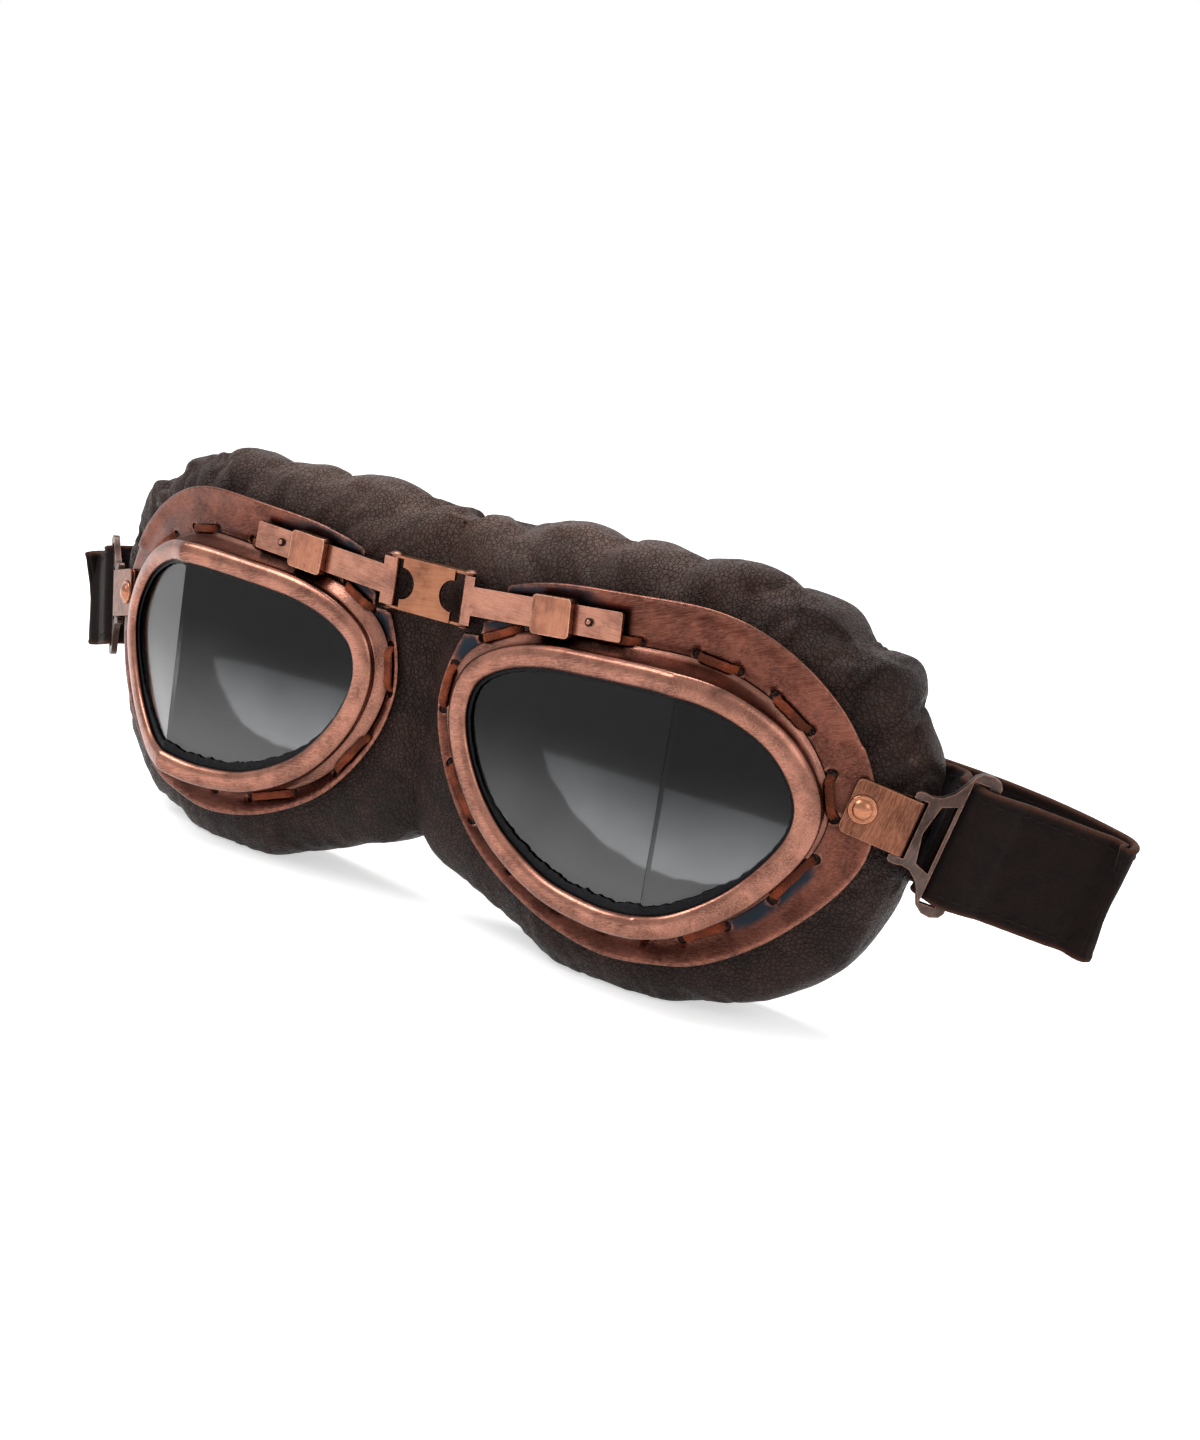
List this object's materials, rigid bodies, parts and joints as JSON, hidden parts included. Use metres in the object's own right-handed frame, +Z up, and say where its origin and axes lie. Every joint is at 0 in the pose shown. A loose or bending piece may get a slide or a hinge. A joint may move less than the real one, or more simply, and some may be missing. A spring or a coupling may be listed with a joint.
{
  "type": "steampunk goggles",
  "caption": "Copper riding goggles with two-pane eye cups on a sliding hinged bridge, laced leather cushions and a buckled strap.",
  "frame": {"origin": "on the ground midway between the two cups, and midway between the front of the rims and the back of the strap", "axes": "+X to the right as seen from the front, -Y the way the wearer looks, +Z up; the goggles stand on the two cushions"},
  "size_m": [0.2904, 0.0644, 0.0899],
  "materials": {
    "copper": "brushed antique copper",
    "gasket_rubber": "matt",
    "smoked_lens": "polished, smoke tint",
    "retainer_steel": "blackened",
    "lace_leather": "rough",
    "dark_leather": "semi-matt, wrinkled",
    "lining_fabric": "plush",
    "buckle_metal": "gunmetal with worn copper edges",
    "strap_fabric": "brown suede-like elastic"
  },
  "bodies": {
    "bridge": {"bridge_link": "copper", "hinge_pin_left": "copper", "hinge_pin_right": "copper", "strap": "strap_fabric"},
    "arm_left": {"arm_left": "copper"},
    "cup_left": {"keeper_left": "copper", "flange_left": "copper", "bezel_left": "copper", "gasket_left": "gasket_rubber", "lens_front_left": "smoked_lens", "lens_side_left": "smoked_lens", "retainer_left": "retainer_steel", "lace_left": "lace_leather", "cushion_left": "dark_leather", "lining_left": "lining_fabric", "rivet_left": "copper"},
    "tab_left": {"tab_left": "copper"},
    "buckle_left": {"buckle_left": "buckle_metal"},
    "arm_right": {"arm_right": "copper"},
    "cup_right": {"keeper_right": "copper", "flange_right": "copper", "bezel_right": "copper", "gasket_right": "gasket_rubber", "lens_front_right": "smoked_lens", "lens_side_right": "smoked_lens", "retainer_right": "retainer_steel", "lace_right": "lace_leather", "cushion_right": "dark_leather", "lining_right": "lining_fabric", "rivet_right": "copper"},
    "tab_right": {"tab_right": "copper"},
    "buckle_right": {"buckle_right": "buckle_metal"}
  },
  "joints": [
    {"name": "left_bridge_hinge", "type": "hinge", "parent": "bridge", "child": "arm_left", "pos_m": [-0.01, -0.02475, 0.072], "axis": [0, 0, 1], "range_deg": [-10, 10], "deforming": ["strap"]},
    {"name": "left_bridge_slide", "type": "slide", "parent": "arm_left", "child": "cup_left", "axis": [-0.9977, 0, 0.068], "range_m": [-0.0025, 0.0028], "deforming": ["strap"]},
    {"name": "left_tab_swivel", "type": "hinge", "parent": "cup_left", "child": "tab_left", "pos_m": [-0.0993, -0.01171, 0.05], "axis": [0.4123, 0.9111, 0], "range_deg": [-8, 8], "deforming": ["strap"]},
    {"name": "left_buckle_hinge", "type": "hinge", "parent": "tab_left", "child": "buckle_left", "pos_m": [-0.10729, -0.0081, 0.04797], "axis": [-0.2049, 0.0927, 0.9744], "range_deg": [-20, 45], "deforming": ["strap"]},
    {"name": "right_bridge_hinge", "type": "hinge", "parent": "bridge", "child": "arm_right", "pos_m": [0.01, -0.02475, 0.072], "axis": [0, 0, 1], "range_deg": [-10, 10], "deforming": ["strap"]},
    {"name": "right_bridge_slide", "type": "slide", "parent": "arm_right", "child": "cup_right", "axis": [0.9977, 0, 0.068], "range_m": [-0.0025, 0.0028], "deforming": ["strap"]},
    {"name": "right_tab_swivel", "type": "hinge", "parent": "cup_right", "child": "tab_right", "pos_m": [0.0993, -0.01171, 0.05], "axis": [-0.4123, 0.9111, 0], "range_deg": [-8, 8], "deforming": ["strap"]},
    {"name": "right_buckle_hinge", "type": "hinge", "parent": "tab_right", "child": "buckle_right", "pos_m": [0.10729, -0.0081, 0.04797], "axis": [0.2049, 0.0927, 0.9744], "range_deg": [-45, 20], "deforming": ["strap"]}
  ]
}
